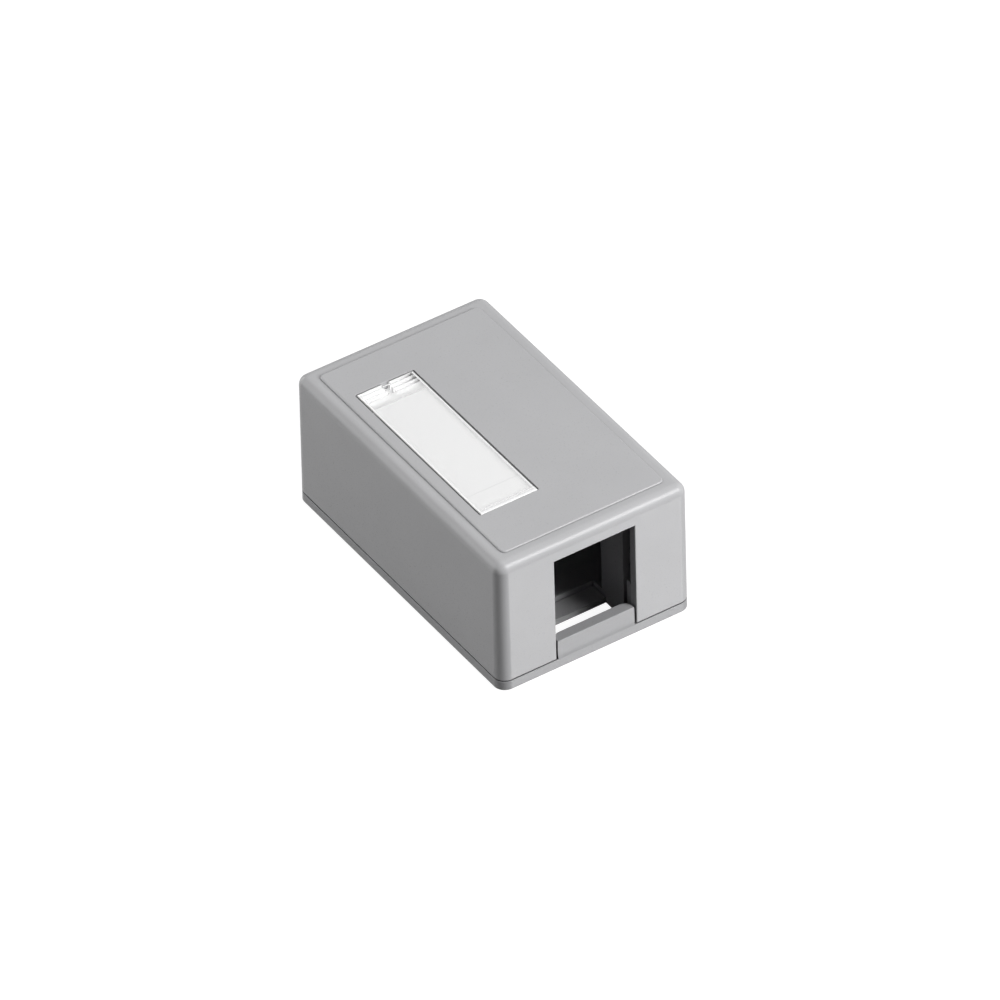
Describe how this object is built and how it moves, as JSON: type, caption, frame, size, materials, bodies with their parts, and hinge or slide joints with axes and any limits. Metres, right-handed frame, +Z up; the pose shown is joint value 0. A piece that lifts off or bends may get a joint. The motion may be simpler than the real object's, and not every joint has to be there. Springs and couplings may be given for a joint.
{
  "type": "surface mount jack box",
  "caption": "Small box with a clip-on cover over a flat base, a clear-covered label window in its top and a square modular jack port in its front end.",
  "frame": {"origin": "middle of the underside, on the surface that the box is fixed to", "axes": "+X across the box, +Y from the port end towards the rear, +Z up out of the mounting surface"},
  "size_m": [0.0352, 0.0572, 0.0249],
  "materials": {
    "base_plastic": "fine satin",
    "cover_plastic": "fine satin",
    "clear_plastic": "polished",
    "label_paper": "smooth white"
  },
  "bodies": {
    "base": {"base": "base_plastic"},
    "cover": {"cover": "cover_plastic", "label_insert": "label_paper"},
    "lens": {"label_lens": "clear_plastic"}
  },
  "joints": [
    {"name": "cover_lift", "type": "slide", "parent": "base", "child": "cover", "axis": [0, 0, 1], "range_m": [0, 0.03]},
    {"name": "lens_tilt", "type": "hinge", "parent": "cover", "child": "lens", "pos_m": [-0.00741, -0.01637, 0.0249], "axis": [1, 0, 0], "range_deg": [0, 70]}
  ]
}
